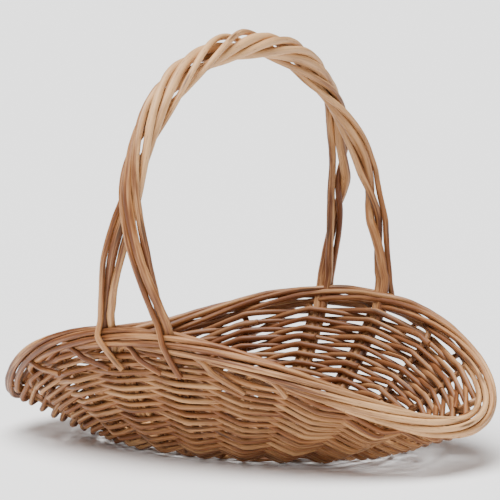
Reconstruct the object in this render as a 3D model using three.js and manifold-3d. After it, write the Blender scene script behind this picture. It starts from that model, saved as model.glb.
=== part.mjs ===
// A willow flower basket: a shallow oval bowl with a saddle-shaped rim and a roped handle over its middle.
//
// It is made the way a basket maker makes it. Base sticks cross in a slath, and a woven oval binds them.
// Stakes are pushed into that oval, stand up through the side, and turn down at the top to lay the border.
// Each row of the side is one rod, closed on itself, that passes outside one stake and inside the next.
// Six handle rods rise in two feet on each side, four of them set down the wall beside the stakes,
// and twist together over the top.
//
// Millimetres, +Z up. X runs along the basket, Y across it, and the handle stands in the YZ plane.
// The origin is on the ground under the middle.
import * as THREE from "three";
import { mergeVertices } from "three/addons/utils/BufferGeometryUtils.js";
import Module from "manifold-3d";

// Rim and base, to the middle of the wall. The base sits a little towards the end that was pulled up.
const RIM_HALF_LENGTH = 216;
const RIM_HALF_WIDTH = 150;
const RIM_SIDE_HEIGHT = 109;
const RIM_END_HEIGHT = 38;
const BASE_HALF_LENGTH = 112;
const BASE_HALF_WIDTH = 72;
const BASE_SHIFT = -9;

// One end of the rim is a little wrung: up on its far side and down on its near side.
const RIM_LIFT = 20;
const RIM_LIFT_AT = 2.85;
const RIM_DIP = 10;
const RIM_DIP_AT = 3.55;
const RIM_WRING_SPREAD = 0.36;

// The wall's profile: how far out and how high its control point stands, as shares of the way to the rim.
const WALL_START_HEIGHT = 7;
const PROFILE_OUT = 0.38;
const PROFILE_UP = 0.1;

// Rods. Neighbours keep a gap, and an ease on top of it where a rod bends or the wall curves.
const STAKE_COUNT = 20;
const STAKE_RADIUS = 2.3;
const STAKE_SET_IN = 18;
const ROW_GAP = 0.45;
const WEAVER_RADIUS = 2.0;
const WEAVER_WRAP = 0.18;
const ROD_GAP = 0.35;
const EASE = 0.45;
const BASE_STICK_RADIUS = 2.2;
const SPLIT_STICK_RADIUS = 3.6;
const LONG_STICK_SPACING = 17;
const LONG_STICK_COUNT = 3;
const CROSS_STICK_SPACING = 30;
const CROSS_STICK_COUNT = 5;
const STICK_OVERHANG = 1;
const BASE_SKIN = 1.05;
const THROUGH = 4;

// Border: each stake lies along the rim for this many stake spaces, and turns about the rim line as it goes,
// in degrees from straight out. Border rods part round a handle foot, the later share of each to the inside.
const BORDER_FIRST_SPACES = 0.13;
const BORDER_SPACES = 3.7;
const BORDER_LOOSENESS = 0.5;
const BORDER_TURN_FROM = -110;
const BORDER_TURN_PER_SPACE = 80;
const BORDER_INSIDE_FROM = 2.5;
const BORDER_PART_MARGIN = 6;
const BORDER_PART_FADE = 16;
const BORDER_PART_GAP = 1.2;
const STAKE_LEAVES_WALL = 0.92;

// Handle.
const HANDLE_SET_IN = 0.5;
const HANDLE_FOOT_RADIUS = 2.4;
const HANDLE_ROD_RADIUS = 3.2;
const HANDLE_THIN_RADIUS = 2.0;
const HANDLE_TURNS = 2;
const HANDLE_STATIONS = 44;
const HANDLE_ROUNDS = 100;
const HANDLE_LEAN = 1.14;
const HANDLE_FOOT_SHARE = 0.27;
const HANDLE_TWIST_FROM = 0.12;
const HANDLE_SLOW_TWIST = 0.8;
const HANDLE_FATTENS_BY = 0.12;
const LAP_DOWN = 8;
const LAP_UP = 7;

// The middle line of the handle, as shares of the rim's half width and of the handle's rise above the rim.
const HANDLE_RISE = 228;
const HANDLE_ARCH = [
  [-1.013, 0.013],
  [-1.1, 0.311],
  [-1.047, 0.575],
  [-0.873, 0.785],
  [-0.547, 0.939],
  [-0.067, 1],
  [0.413, 0.943],
  [0.76, 0.785],
  [0.96, 0.575],
  [1.027, 0.311],
  [1.013, 0.013],
];

// How finely curves are cut.
const WEAVER_SIDES = 5;
const STAKE_SIDES = 5;
const HANDLE_SIDES = 5;
const STICK_SIDES = 8;
const OVAL_SIDES = 44;
const STAKE_STEPS = 8;
const BORDER_STEPS = 15;
const FOOT_STEPS = 5;

// How many angles round the basket are searched for the place where rows lie closest.
const ROW_MEASURE_ANGLES = 120;

const STAKE_SPACE = (2 * Math.PI) / STAKE_COUNT;
const BASE_THICKNESS = 2 * (SPLIT_STICK_RADIUS + ROD_GAP + BASE_SKIN);
const BASE_MIDDLE = BASE_THICKNESS / 2;
const WEAVE_DEPTH = Math.max(STAKE_RADIUS, HANDLE_FOOT_RADIUS) + WEAVER_RADIUS + ROD_GAP + EASE;
const FOOT_PITCH = STAKE_RADIUS + HANDLE_FOOT_RADIUS + ROD_GAP + EASE;
const BORDER_HALF_TURN = THREE.MathUtils.degToRad(BORDER_TURN_PER_SPACE / 2);
const BORDER_RADIUS = (STAKE_RADIUS + ROD_GAP + BORDER_LOOSENESS) / Math.sin(BORDER_HALF_TURN);
const BORDER_PARTED = HANDLE_FOOT_RADIUS + STAKE_RADIUS + ROD_GAP + BORDER_PART_GAP;

const vec = (x, y, z) => new THREE.Vector3(x, y, z);
const stakeAngle = (stake) => (stake + 0.5) * STAKE_SPACE;
const smooth = (x) => THREE.MathUtils.smoothstep(x, 0, 1);
const bezier = (t, control) => 2 * t * (1 - t) * control + t * t;

// ---- the wall ----

// The angle from one direction to another, the short way round.
const turnBetween = (from, to) => Math.atan2(Math.sin(to - from), Math.cos(to - from));

function rimHeight(angle) {
  const swell = (at) => Math.exp(-((turnBetween(at, angle) / RIM_WRING_SPREAD) ** 2));
  const saddle = RIM_END_HEIGHT + (RIM_SIDE_HEIGHT - RIM_END_HEIGHT) * Math.sin(angle) ** 2;
  return saddle + RIM_LIFT * swell(RIM_LIFT_AT) - RIM_DIP * swell(RIM_DIP_AT);
}

// The middle of the wall at an angle round the basket, from 0 at the base's edge to 1 at the rim.
function wallPoint(angle, t) {
  const out = bezier(t, PROFILE_OUT);
  const middle = BASE_SHIFT * (1 - out);
  const x = BASE_HALF_LENGTH + (RIM_HALF_LENGTH - BASE_HALF_LENGTH) * out;
  const y = BASE_HALF_WIDTH + (RIM_HALF_WIDTH - BASE_HALF_WIDTH) * out;
  const z = WALL_START_HEIGHT + (rimHeight(angle) - WALL_START_HEIGHT) * bezier(t, PROFILE_UP);
  return vec(middle + x * Math.cos(angle), y * Math.sin(angle), z);
}

// Directions there: along the wall, up it, and out of it, with the length of one radian along it.
function wallFrame(angle, t) {
  const step = 1e-3;
  const along = wallPoint(angle + step, t).sub(wallPoint(angle - step, t));
  const up = wallPoint(angle, t + step).sub(wallPoint(angle, t - step)).normalize();
  const perRadian = along.length() / (2 * step);
  along.normalize();
  const out = along.clone().cross(up).normalize();
  return { along, up, out, perRadian };
}

// How far apart two heights of the wall are at an angle, square to the rows.
function rowDistance(angle, t, next) {
  const rise = wallPoint(angle, next).sub(wallPoint(angle, t));
  return rise.addScaledVector(wallFrame(angle, t).along, -rise.dot(wallFrame(angle, t).along)).length();
}

// The way up the wall, measured at every height where rows lie closest round the basket.
function closestProfile() {
  const steps = 1000;
  const angles = Array.from({ length: ROW_MEASURE_ANGLES }, (_, i) => (i * 2 * Math.PI) / ROW_MEASURE_ANGLES);
  const lengths = [0];
  for (let i = 1; i <= steps; i++) {
    const closest = Math.min(...angles.map((angle) => rowDistance(angle, (i - 1) / steps, i / steps)));
    lengths.push(lengths[i - 1] + closest);
  }
  const total = lengths[steps];
  const at = (length) => lengths.findIndex((l) => l >= Math.min(length, total)) / steps;
  return { total, at };
}

const PROFILE = closestProfile();
const FIRST_ROW_AT = WEAVE_DEPTH + WEAVER_RADIUS + 2 * EASE;
const LAST_ROW_BELOW_RIM = BORDER_RADIUS + STAKE_RADIUS + WEAVER_RADIUS + ROD_GAP + 4 * EASE;
const ROWS_SPAN = PROFILE.total - FIRST_ROW_AT - LAST_ROW_BELOW_RIM;
const ROW_COUNT = Math.floor(ROWS_SPAN / (2 * WEAVER_RADIUS + ROW_GAP)) + 1;
const ROW_PITCH = ROWS_SPAN / (ROW_COUNT - 1);
const rowHeight = (row) => PROFILE.at(FIRST_ROW_AT + row * ROW_PITCH);

// ---- rods ----

// A round rod through points, thick as radiusAt(index) says. A closed rod joins its end to its start.
function rod(points, radiusAt, sides, closed = false) {
  const count = points.length;
  const at = (i) => points[closed ? (i + count) % count : THREE.MathUtils.clamp(i, 0, count - 1)];
  const tangents = points.map((_, i) => at(i + 1).clone().sub(at(i - 1)).normalize());
  const normals = [];
  let normal = vec(0.31, 0.17, 1).cross(tangents[0]).normalize();
  tangents.forEach((tangent) => {
    normal = normal.clone().addScaledVector(tangent, -normal.dot(tangent)).normalize();
    normals.push(normal);
  });
  const spare = closed ? closingTwist(normals, tangents) : 0;

  const positions = [];
  points.forEach((point, i) => {
    const side = tangents[i].clone().cross(normals[i]);
    for (let j = 0; j < sides; j++) {
      const turn = (2 * Math.PI * j) / sides + (spare * i) / count;
      const spoke = normals[i].clone().multiplyScalar(Math.cos(turn)).addScaledVector(side, Math.sin(turn));
      positions.push(...point.clone().addScaledVector(spoke, radiusAt(i)).toArray());
    }
  });

  const faces = [];
  for (let i = 0; i < (closed ? count : count - 1); i++) {
    const next = (i + 1) % count;
    for (let j = 0; j < sides; j++) {
      const k = (j + 1) % sides;
      faces.push(i * sides + j, i * sides + k, next * sides + j);
      faces.push(i * sides + k, next * sides + k, next * sides + j);
    }
  }
  if (!closed) {
    const last = (count - 1) * sides;
    for (let j = 1; j < sides - 1; j++) {
      faces.push(0, j + 1, j);
      faces.push(last, last + j, last + j + 1);
    }
  }
  return new THREE.BufferGeometry()
    .setAttribute("position", new THREE.Float32BufferAttribute(positions, 3))
    .setIndex(faces);
}

// The turn that brings the last section of a closed rod round to the first.
function closingTwist(normals, tangents) {
  const last = normals[normals.length - 1].clone();
  last.addScaledVector(tangents[0], -last.dot(tangents[0])).normalize();
  const side = tangents[0].clone().cross(normals[0]);
  return -Math.atan2(last.dot(side), last.dot(normals[0]));
}

const steady = (radius) => () => radius;

// ---- side rows ----

// One row: it hugs a stake from one edge of its wrap to the other, then crosses straight to the next stake.
function weaver(row) {
  const t = rowHeight(row);
  const points = [];
  for (let stake = 0; stake < STAKE_COUNT; stake++) {
    const outside = (stake + row) % 2 ? -1 : 1;
    for (const edge of [-WEAVER_WRAP, WEAVER_WRAP]) {
      const angle = stakeAngle(stake + edge);
      points.push(wallPoint(angle, t).addScaledVector(wallFrame(angle, t).out, outside * WEAVE_DEPTH));
    }
  }
  return rod(points, steady(WEAVER_RADIUS), WEAVER_SIDES, true);
}

// ---- handle feet ----

// The four stakes that the handle's feet stand beside, the two nearest to the middle on each side.
const HANDLE_STAKES = [0.25, 0.75].flatMap((share) => [share * STAKE_COUNT - 1, share * STAKE_COUNT]);

// The angle a distance along the wall from a stake, counted the way the border runs.
function besideStake(stake, distance, t) {
  const angle = stakeAngle(stake);
  return angle + distance / wallFrame(angle, t).perRadian;
}

// A foot's two wall rods and its stake stand side by side, the stake last the way the border runs, moved
// together half a pitch towards the middle of the basket's side. Place 0 is next to the stake, 1 beyond it.
const towardMiddle = (stake) => (HANDLE_STAKES.indexOf(stake) % 2 ? -0.5 : 0.5);
const footShift = (stake, place) => (towardMiddle(stake) - place) * FOOT_PITCH;
const stakeShift = (stake) => (HANDLE_STAKES.includes(stake) ? footShift(stake, -1) : 0);

// ---- stakes and the border that they lay ----

// 1 beside a handle foot, fading to 0, so that border rods can part around the foot.
function footNearness(angle) {
  const clear = FOOT_PITCH / 2 + HANDLE_FOOT_RADIUS + STAKE_RADIUS + ROD_GAP + BORDER_PART_MARGIN;
  return HANDLE_STAKES.reduce((most, stake) => {
    const middle = besideStake(stake, footShift(stake, 0.5), 1);
    const distance = Math.abs(turnBetween(middle, angle)) * wallFrame(middle, 1).perRadian;
    return Math.max(most, 1 - smooth((distance - clear) / BORDER_PART_FADE));
  }, 0);
}

// Directions at the rim for the border, which is laid level: straight out, and square to that and the rim.
function rimFrame(angle) {
  const { along } = wallFrame(angle, 1);
  const out = along.clone().cross(vec(0, 0, 1)).normalize();
  return { out, up: out.clone().cross(along) };
}

// A point of a border rod, a number of stake spaces after it turned down from its own stake.
function borderPoint(start, spaces) {
  const angle = start + spaces * STAKE_SPACE;
  const turn = THREE.MathUtils.degToRad(BORDER_TURN_FROM + BORDER_TURN_PER_SPACE * spaces);
  const { up, out } = rimFrame(angle);
  const parted = spaces < BORDER_INSIDE_FROM ? BORDER_PARTED : -BORDER_PARTED;
  const partedShare = spaces > 0.5 ? footNearness(angle) : 0;
  const outward = THREE.MathUtils.lerp(BORDER_RADIUS * Math.cos(turn), parted, partedShare);
  return wallPoint(angle, 1)
    .addScaledVector(out, outward)
    .addScaledVector(up, BORDER_RADIUS * Math.sin(turn));
}

// A point on the line of a stake's foot, a distance in from the edge of the base.
function footPoint(index, distance) {
  const angle = stakeAngle(index);
  const square = vec(BASE_HALF_WIDTH * Math.cos(angle), BASE_HALF_LENGTH * Math.sin(angle), 0).normalize();
  return wallPoint(angle, 0).addScaledVector(square, -distance);
}

function stake(index) {
  const angleAt = (t) => besideStake(index, stakeShift(index) * smooth(t / HANDLE_SET_IN), t);
  const points = [footPoint(index, STAKE_SET_IN)];
  for (let i = 0; i <= STAKE_STEPS; i++) {
    const t = (STAKE_LEAVES_WALL * i) / STAKE_STEPS;
    points.push(wallPoint(angleAt(t), t));
  }
  const start = angleAt(1);
  for (let i = 0; i <= BORDER_STEPS; i++) {
    const spaces = THREE.MathUtils.lerp(BORDER_FIRST_SPACES, BORDER_SPACES, i / BORDER_STEPS);
    points.push(borderPoint(start, spaces));
  }
  return rod(points, steady(STAKE_RADIUS), STAKE_SIDES);
}

// ---- handle ----

const archPoints = HANDLE_ARCH.map(([across, rise]) => (
  vec(0, across * RIM_HALF_WIDTH, RIM_SIDE_HEIGHT + rise * HANDLE_RISE)
));
const arch = new THREE.CatmullRomCurve3(archPoints, false, "centripetal");

// The middle of the handle at a share of its length, with the direction away from the inside of the arch.
function archFrame(share) {
  const along = arch.getTangentAt(share);
  return { middle: arch.getPointAt(share), out: along.clone().cross(vec(1, 0, 0)).negate() };
}

// The handle's rods: where each starts in the twist, in degrees from the outside of the arch towards +X,
// and its foot on each side of the basket, as [which handle stake, place].
// Thin rods lap over the border, the others go down the wall.
const HANDLE_LAY_RADIUS = 2 * (HANDLE_ROD_RADIUS * HANDLE_LEAN + ROD_GAP);
const HANDLE_RODS = [
  { name: "handle_rod_1", turn: 90, thin: false, near: [3, 0], far: [0, 1] },
  { name: "handle_rod_2", turn: 150, thin: false, near: [3, 1], far: [0, 0] },
  { name: "handle_rod_3", turn: -90, thin: false, near: [2, 1], far: [1, 0] },
  { name: "handle_rod_4", turn: -150, thin: false, near: [2, 0], far: [1, 1] },
  { name: "handle_thin_rod_1", turn: 30, thin: true, near: [3, 0.5], far: [0, 0.5] },
  { name: "handle_thin_rod_2", turn: -30, thin: true, near: [2, 0.5], far: [1, 0.5] },
];

const LAP_OUT = BORDER_PARTED + STAKE_RADIUS + HANDLE_THIN_RADIUS + ROD_GAP + EASE;

// The end of a handle rod up to the rim, as points with the lowest first.
function footPoints(thin, [whichStake, place]) {
  const stakeNumber = HANDLE_STAKES[whichStake];
  const aside = footShift(stakeNumber, place);
  if (thin) {
    const angle = besideStake(stakeNumber, aside, 1);
    const { up, out } = rimFrame(angle);
    const lap = (rise) => wallPoint(angle, 1).addScaledVector(out, LAP_OUT).addScaledVector(up, rise);
    return [lap(-LAP_DOWN), lap(0), lap(LAP_UP)];
  }
  return Array.from({ length: FOOT_STEPS + 1 }, (_, i) => {
    const t = THREE.MathUtils.lerp(HANDLE_SET_IN, 1, i / FOOT_STEPS);
    return wallPoint(besideStake(stakeNumber, aside, t), t);
  });
}

// How much of the whole twist is done at a share of the handle. It starts slowly where the legs meet.
function twistShare(share) {
  const done = THREE.MathUtils.clamp((share - HANDLE_TWIST_FROM) / (1 - 2 * HANDLE_TWIST_FROM), 0, 1);
  return done - ((1 - HANDLE_SLOW_TWIST) / (2 * Math.PI)) * Math.sin(2 * Math.PI * done);
}

// How far a leg still stands out towards its foot, at a share of the handle from that foot.
const legShare = (share) => Math.max(0, 1 - share / HANDLE_FOOT_SHARE) ** 1.4;

const handleRadius = (rodFacts) => (rodFacts.thin ? HANDLE_THIN_RADIUS : HANDLE_ROD_RADIUS);

// Where every handle rod lies at every station, as offsets out of the arch and along X. Each goes from its
// foot into the rope and out again, and rods that would meet on the way are moved apart.
function handleOffsets(feet) {
  const offsets = HANDLE_RODS.map((rodFacts, r) =>
    Array.from({ length: HANDLE_STATIONS + 1 }, (_, i) => {
      const share = i / HANDLE_STATIONS;
      const turn = THREE.MathUtils.degToRad(rodFacts.turn - 360 * HANDLE_TURNS * twistShare(share));
      const rope = [HANDLE_LAY_RADIUS * Math.cos(turn), HANDLE_LAY_RADIUS * Math.sin(turn)];
      const nearFoot = legShare(share);
      const farFoot = legShare(1 - share);
      return rope.map((value, axis) => value * (1 - nearFoot - farFoot)
        + feet[r].near[axis] * nearFoot + feet[r].far[axis] * farFoot);
    }));
  for (let round = 0; round < HANDLE_ROUNDS; round++) {
    partRods(offsets);
    if (round < HANDLE_ROUNDS / 2) easeRods(offsets);
  }
  return offsets;
}

// Moves rods apart at each station until they lie side by side with a gap.
function partRods(offsets) {
  for (let i = 1; i < HANDLE_STATIONS; i++) {
    for (let a = 0; a < HANDLE_RODS.length; a++) {
      for (let b = a + 1; b < HANDLE_RODS.length; b++) {
        const p = offsets[a][i];
        const q = offsets[b][i];
        const apart = [q[0] - p[0], q[1] - p[1]];
        const distance = Math.hypot(...apart);
        const wanted = (handleRadius(HANDLE_RODS[a]) + handleRadius(HANDLE_RODS[b])) * HANDLE_LEAN + ROD_GAP;
        if (distance >= wanted) continue;
        const push = (wanted - distance) / 2 / Math.max(distance, 1e-6);
        for (const axis of [0, 1]) {
          p[axis] -= apart[axis] * push;
          q[axis] += apart[axis] * push;
        }
      }
    }
  }
}

// Pulls each rod a little towards a fair curve in the legs, where it leaves the rope for its foot.
function easeRods(offsets) {
  for (const line of offsets) {
    const before = line.map((p) => [...p]);
    for (let i = 1; i < HANDLE_STATIONS; i++) {
      const leg = Math.abs(2 * i / HANDLE_STATIONS - 1);
      const pull = 0.25 * smooth((leg - 0.4) / 0.3);
      for (const axis of [0, 1]) {
        line[i][axis] += pull * ((before[i - 1][axis] + before[i + 1][axis]) / 2 - before[i][axis]);
      }
    }
  }
}

// A point's offsets from the arch's middle at one of its ends.
function offsetsFrom(share, point) {
  const { middle, out } = archFrame(share);
  const away = point.clone().sub(middle);
  return [away.dot(out), away.x];
}

function handleRods() {
  const ends = HANDLE_RODS.map(({ thin, near, far }) => ({
    near: footPoints(thin, near),
    far: footPoints(thin, far),
  }));
  const offsets = handleOffsets(ends.map(({ near, far }) => ({
    near: offsetsFrom(0, near[near.length - 1]),
    far: offsetsFrom(1, far[far.length - 1]),
  })));
  return HANDLE_RODS.map((rodFacts, r) => {
    const middle = offsets[r].map(([outward, sideways], i) => {
      const { middle: centre, out } = archFrame(i / HANDLE_STATIONS);
      return centre.addScaledVector(out, outward).setX(sideways);
    });
    const near = ends[r].near.slice(0, -1);
    const far = ends[r].far.slice(0, -1).reverse();
    const points = [...near, ...middle, ...far];
    const full = handleRadius(rodFacts);
    const radiusAt = (i) => {
      const fromRim = Math.min(i - near.length, points.length - 1 - far.length - i) / HANDLE_STATIONS;
      const fattened = smooth(fromRim / HANDLE_FATTENS_BY);
      return THREE.MathUtils.lerp(Math.min(full, HANDLE_FOOT_RADIUS), full, fattened);
    };
    return { name: rodFacts.name, geometry: rod(points, radiusAt, HANDLE_SIDES) };
  });
}

// ---- base ----

const wasm = await Module();
wasm.setup();

// A geometry as a manifold-3d solid, and back.
function solid(geometry) {
  const bare = geometry.clone();
  bare.deleteAttribute("normal");
  bare.deleteAttribute("uv");
  const merged = mergeVertices(bare, 1e-4);
  return new wasm.Manifold(new wasm.Mesh({
    numProp: 3,
    vertProperties: merged.attributes.position.array,
    triVerts: new Uint32Array(merged.index.array),
  }));
}

function geometryOf(manifold) {
  const { vertProperties, triVerts } = manifold.getMesh();
  return new THREE.BufferGeometry()
    .setAttribute("position", new THREE.BufferAttribute(vertProperties, 3))
    .setIndex(new THREE.BufferAttribute(triVerts, 1));
}

const spread = (count, spacing) => Array.from({ length: count }, (_, i) => (i - (count - 1) / 2) * spacing);
const LONG_STICKS = spread(LONG_STICK_COUNT, LONG_STICK_SPACING);
const CROSS_STICKS = spread(CROSS_STICK_COUNT, CROSS_STICK_SPACING);

// A geometry with every tool cut out of it.
function cut(from, tools) {
  return geometryOf(tools.reduce((left, tool) => left.subtract(solid(tool)), solid(from)));
}

// A straight base stick across the oval, along X at y = place, or along Y at x = place.
function baseStick(alongX, place, radius, overhang = STICK_OVERHANG) {
  const [half, across] = alongX ? [BASE_HALF_LENGTH, BASE_HALF_WIDTH] : [BASE_HALF_WIDTH, BASE_HALF_LENGTH];
  const reach = half * Math.sqrt(1 - (place / across) ** 2) + overhang;
  const end = (sign) => (alongX ? [sign * reach, place] : [place, sign * reach]);
  const ends = [end(-1), end(1)].map(([x, y]) => vec(BASE_SHIFT + x, y, BASE_MIDDLE));
  return rod(ends, steady(radius), STICK_SIDES);
}

// The split cross sticks, with a slit where each long stick is threaded through.
function crossStick(place) {
  const slits = LONG_STICKS.map((y) => baseStick(true, y, BASE_STICK_RADIUS + ROD_GAP));
  return cut(baseStick(false, place, SPLIT_STICK_RADIUS), slits);
}

// The woven oval that binds the sticks, with room for them and for the feet of the stakes.
function baseWeave() {
  const oval = new THREE.Shape().absellipse(BASE_SHIFT, 0, BASE_HALF_LENGTH, BASE_HALF_WIDTH, 0, 2 * Math.PI);
  const flat = { depth: BASE_THICKNESS, bevelEnabled: false, curveSegments: OVAL_SIDES };
  return cut(new THREE.ExtrudeGeometry(oval, flat), [
    ...LONG_STICKS.map((y) => baseStick(true, y, BASE_STICK_RADIUS + ROD_GAP, THROUGH)),
    ...CROSS_STICKS.map((x) => baseStick(false, x, SPLIT_STICK_RADIUS + ROD_GAP, THROUGH)),
    ...Array.from({ length: STAKE_COUNT }, (_, index) => stakeSocket(index)),
  ]);
}

// The room that a stake's foot takes in the base, a gap wider and longer than the foot.
function stakeSocket(index) {
  const ends = [footPoint(index, STAKE_SET_IN + ROD_GAP), footPoint(index, -THROUGH)];
  return rod(ends, steady(STAKE_RADIUS + ROD_GAP + EASE), STAKE_SIDES);
}

// ---- the basket ----

const willow = (colour) => new THREE.MeshStandardMaterial({ color: colour, roughness: 0.62, metalness: 0 });
const BUFF_WILLOW = willow(0xc08a5a);
const PALE_WILLOW = willow(0xd2a67c);
const DARK_WILLOW = willow(0x96613a);

const basket = new THREE.Group();

function add(name, geometry, material) {
  const mesh = new THREE.Mesh(geometry, material);
  mesh.name = name;
  basket.add(mesh);
}

const numbered = (word, index) => `${word}_${String(index + 1).padStart(2, "0")}`;

LONG_STICKS.forEach((y, i) => {
  add(numbered("base_long_stick", i), baseStick(true, y, BASE_STICK_RADIUS), DARK_WILLOW);
});
CROSS_STICKS.forEach((x, i) => {
  add(numbered("base_cross_stick", i), crossStick(x), DARK_WILLOW);
});
add("base_weave", baseWeave(), BUFF_WILLOW);
for (let index = 0; index < STAKE_COUNT; index++) add(numbered("stake", index), stake(index), PALE_WILLOW);
for (let row = 0; row < ROW_COUNT; row++) add(numbered("weaver", row), weaver(row), BUFF_WILLOW);
handleRods().forEach(({ name, geometry }) => add(name, geometry, PALE_WILLOW));

export default basket;
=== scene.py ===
import math
import random

import bpy
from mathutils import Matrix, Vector


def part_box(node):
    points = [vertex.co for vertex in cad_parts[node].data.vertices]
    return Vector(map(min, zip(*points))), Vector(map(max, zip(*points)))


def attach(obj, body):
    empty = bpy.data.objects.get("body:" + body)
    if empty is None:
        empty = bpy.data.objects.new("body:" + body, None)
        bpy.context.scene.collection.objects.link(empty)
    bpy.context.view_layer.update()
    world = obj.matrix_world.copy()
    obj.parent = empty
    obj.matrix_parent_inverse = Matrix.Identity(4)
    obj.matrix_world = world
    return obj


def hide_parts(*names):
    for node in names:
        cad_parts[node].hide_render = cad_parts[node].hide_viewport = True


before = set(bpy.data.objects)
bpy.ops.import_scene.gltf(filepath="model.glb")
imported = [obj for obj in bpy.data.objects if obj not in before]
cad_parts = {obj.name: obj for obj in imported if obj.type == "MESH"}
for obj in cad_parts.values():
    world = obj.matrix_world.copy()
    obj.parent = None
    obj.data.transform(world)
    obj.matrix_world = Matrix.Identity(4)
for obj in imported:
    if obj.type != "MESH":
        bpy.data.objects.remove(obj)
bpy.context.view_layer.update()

bl_info = {
    "name": "Willow Flower Basket",
    "version": (1, 0, 0),
    "blender": (4, 5, 0),
    "location": "3D View > Sidebar > Basket",
    "description": "Weaves an oval willow basket: base, stakes and border, side rows and roped handle",
    "category": "Object",
}

# The basket is woven from rods that follow guide lines. Each guide is a chain of points with a thickness
# and a tone at every point; one Geometry Nodes tree turns any set of guides into rods.
# Metres, +X along the basket, +Y across it, +Z up. The handle stands in the YZ plane.

LONG_STICKS, CROSS_STICKS, STAKES, ROWS, HANDLE = (
    sorted(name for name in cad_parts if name.startswith(start))
    for start in ("base_long_stick_", "base_cross_stick_", "stake_", "weaver_", "handle_")
)

MM = 0.001
STAKE_SPACE = 2 * math.pi / len(STAKES)
WALL_STEPS = 60

# The lowest rods' clearance, which takes up their wander and their unevenness.
ABOVE_GROUND = 1.2 * MM

# The sides are higher than the ends. Above each of these rows a packing rod goes there and back along each
# side, over one of these numbers of stakes each way from the side's middle.
PACKED_ROWS = (2, 5, 8, 11, 14)
PACKING_REACHES = (3, 3, 4)

# A rod is twined this share of the rows' height below the first row.
TWINED_AT = -0.045

# A side row's rod ends this many half wraps past its last stake.
ROW_END = 1.6

# Border rods part round a handle foot within this many foot pitches, and close again over so many more.
FOOT_REACH = 2.2
FOOT_FADE = 3

# The end of a border rod goes under the border and then lies on the wall, in these steps of stake spaces
# along, border radii down a wall of TAIL_WALL_MM, and share of the way off the wall. It shows on the sides,
# where the sine of the angle round the basket is over TAIL_SHOWS_FROM. Elsewhere the rod is cut off under the
# border. TAIL_REACH is the least and the most that the steps along are stretched by.
TAIL_START = 0.45
TAIL_REACH = (0.5, 0.85)
TAIL_STEPS = ((0.72, 1.55, 0.85), (0.98, 2.1, 1.0), (1.25, 2.75, 1.0))
TAIL_WALL_MM = 140
TAIL_SHOWS_FROM = 0.78

# A wrapping rod's end: millimetres along the wall and place on it, then, beside the border, millimetres along
# and up and the share of the way out past the border.
LAP_ON_WALL = ((13, 0.87), (8, 0.92))
LAP_ON_BORDER = ((3, -3, 0.97), (0, 3, 0.9), (-1, 8, 0.66))

# The handle's twist is worked out at this many steps. In each round rods that touch are pushed apart, until
# their middles are their radii times SIDE_BY_SIDE apart, and in the first rounds they are eased too.
STATIONS = 60
PARTED_ROUNDS = 90
EASED_ROUNDS = 12
SIDE_BY_SIDE = 1.06

# The middle line of the handle, as shares of the rim's half width and of the handle's rise above the rim.
HANDLE_ARCH = (
    ((-1.013, 0.013), (-1.1, 0.311), (-1.047, 0.575), (-0.873, 0.785), (-0.547, 0.939), (-0.067, 1.0))
    + ((0.413, 0.943), (0.76, 0.785), (0.96, 0.575), (1.027, 0.311), (1.013, 0.013))
)

# Handle rods: where each starts in the twist, in degrees from the outside of the arch towards +X, how thick
# it is, how far out it lies in the twist, whether it laps the border, and its foot on each side as (which
# handle stake, place in the foot).
HANDLE_FACTS = ("turn", "size", "lay", "wraps", "near", "far")
HANDLE_RODS = {
    name: dict(zip(HANDLE_FACTS, facts))
    for name, *facts in (
        ("handle_rod_1", 90, "handle_thick", 0.8, False, (3, 0), (0, 1)),
        ("handle_rod_2", 150, "handle_middling", 1.08, False, (3, 1), (0, 0)),
        ("handle_rod_3", -90, "handle_thick", 0.8, False, (2, 1), (1, 0)),
        ("handle_rod_4", -150, "handle_middling", 1.08, False, (2, 0), (1, 1)),
        ("handle_thin_rod_1", 30, "handle_thin", 1.3, True, (3, 0.5), (0, 0.5)),
        ("handle_thin_rod_2", -30, "handle_thin", 1.3, True, (2, 0.5), (1, 0.5)),
    )
}


def length(name, description, default):
    """A size in metres, given in millimetres."""
    return bpy.props.FloatProperty(
        name=name,
        description=description,
        default=default * MM,
        subtype="DISTANCE",
        unit="LENGTH",
        precision=4,
    )


def share(name, description, default):
    """A plain number."""
    return bpy.props.FloatProperty(name=name, description=description, default=default, precision=3)


def tone(name, description, default):
    """A linear colour."""
    return bpy.props.FloatVectorProperty(
        name=name, description=description, default=default, size=3, subtype="COLOR", min=0, max=1
    )


class BasketShape(bpy.types.PropertyGroup):
    """The basket's form, to the middle of its wall."""

    rim_half_length: length("Rim Half Length", "From the middle to an end of the rim", 216)
    rim_half_width: length("Rim Half Width", "From the middle to a side of the rim", 150)
    rim_side_height: length("Rim Side Height", "The rim above the ground at the handle", 109)
    rim_end_height: length("Rim End Height", "The rim above the ground at the ends", 38)
    rim_lift: length("Rim Lift", "How far one end is pulled up on its far side", 20)
    rim_lift_at: share("Rim Lift At", "Angle of the lift round the rim, in radians", 2.85)
    rim_dip: length("Rim Dip", "How far that end is pushed down on its near side", 10)
    rim_dip_at: share("Rim Dip At", "Angle of the dip round the rim, in radians", 3.55)
    rim_wring_spread: share("Rim Wring Spread", "How far round the lift and the dip reach, in radians", 0.36)
    base_half_length: length("Base Half Length", "From the middle to an end of the base", 112)
    base_half_width: length("Base Half Width", "From the middle to a side of the base", 72)
    base_shift: length("Base Shift", "How far the base sits along +X from the middle", -9)
    wall_start: length("Wall Start", "Height at which the stakes leave the base", 7)
    profile_out: share("Profile Out", "How far out the wall bulges, as a share of the way to the rim", 0.38)
    profile_up: share("Profile Up", "How high the wall's bulge stands, as a share of the way to the rim", 0.1)
    handle_rise: length("Handle Rise", "Top of the handle's middle line above the rim", 228)


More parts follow.
